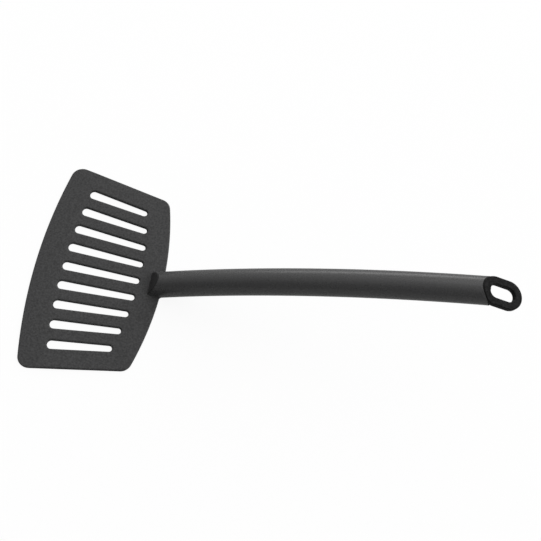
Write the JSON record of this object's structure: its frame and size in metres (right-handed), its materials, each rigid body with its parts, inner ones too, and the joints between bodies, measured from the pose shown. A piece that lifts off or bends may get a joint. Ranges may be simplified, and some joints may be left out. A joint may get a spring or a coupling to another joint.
{
  "type": "slotted turner",
  "caption": "Wide slotted kitchen turner with a flat fan-shaped blade, an arched round handle and a flat hanging eye.",
  "frame": {"origin": "on the blade's flat underside, in the plane of symmetry, below the foot of the handle's leaning nose", "axes": "+Z out of the blade's top, +X from the front edge towards the hanging eye, Y across the blade"},
  "size_m": [0.3199, 0.1592, 0.1166],
  "materials": {
    "matt_nylon": "matt black nylon with a fine grain",
    "satin_nylon": "satin black nylon"
  },
  "bodies": {
    "root": {"blade": "matt_nylon", "handle": "satin_nylon", "hanging_eye": "matt_nylon"}
  },
  "joints": []
}
